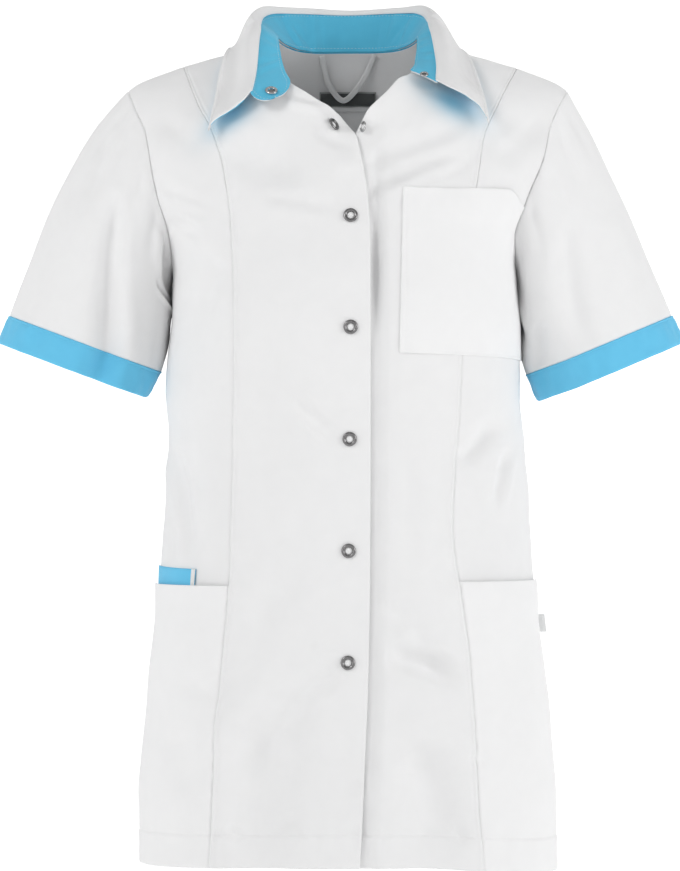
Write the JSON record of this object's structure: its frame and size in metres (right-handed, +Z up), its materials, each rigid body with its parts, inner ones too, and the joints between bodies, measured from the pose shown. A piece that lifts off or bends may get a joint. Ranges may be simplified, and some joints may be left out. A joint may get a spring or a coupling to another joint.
{
  "type": "medical tunic",
  "caption": "Short-sleeved medical tunic with princess seams, turned-down collar, snap front, chest pocket and two lower pockets, filled out as worn and hollow.",
  "frame": {"origin": "middle of the shoulder line, level with where the shoulder seams meet the neck: the wearer's shoulders hold the garment there", "axes": "+Z up, -Y towards the front, +X towards the wearer's left"},
  "size_m": [0.6014, 0.2624, 0.7595],
  "materials": {
    "white_cloth": "matte twill, optically white",
    "blue_cloth": "matte twill, bright sky blue",
    "label_weave": "satin weave, dark grey, bare",
    "snap_metal": "dark nickel, slightly worn"
  },
  "bodies": {
    "root": {"front_right_centre": "white_cloth", "front_right_side": "white_cloth", "front_left_centre": "white_cloth", "front_left_side": "white_cloth", "back": "white_cloth", "sleeve_right": "white_cloth", "sleeve_left": "white_cloth", "cuff_right": "blue_cloth", "cuff_left": "blue_cloth", "collar_leaf": "white_cloth", "under_collar": "blue_cloth", "stand_inner": "blue_cloth", "stand_outer": "white_cloth", "chest_pocket": "white_cloth", "pocket_right": "white_cloth", "pocket_left": "white_cloth", "phone_pocket": "blue_cloth", "neck_label": "label_weave", "side_label": "white_cloth", "hanging_loop": "white_cloth", "snap_1": "snap_metal", "snap_2": "snap_metal", "snap_3": "snap_metal", "snap_4": "snap_metal", "snap_5": "snap_metal", "snap_open_ring": "snap_metal", "snap_open_stud": "snap_metal", "collar_socket": "snap_metal", "collar_stud": "snap_metal"}
  },
  "joints": []
}
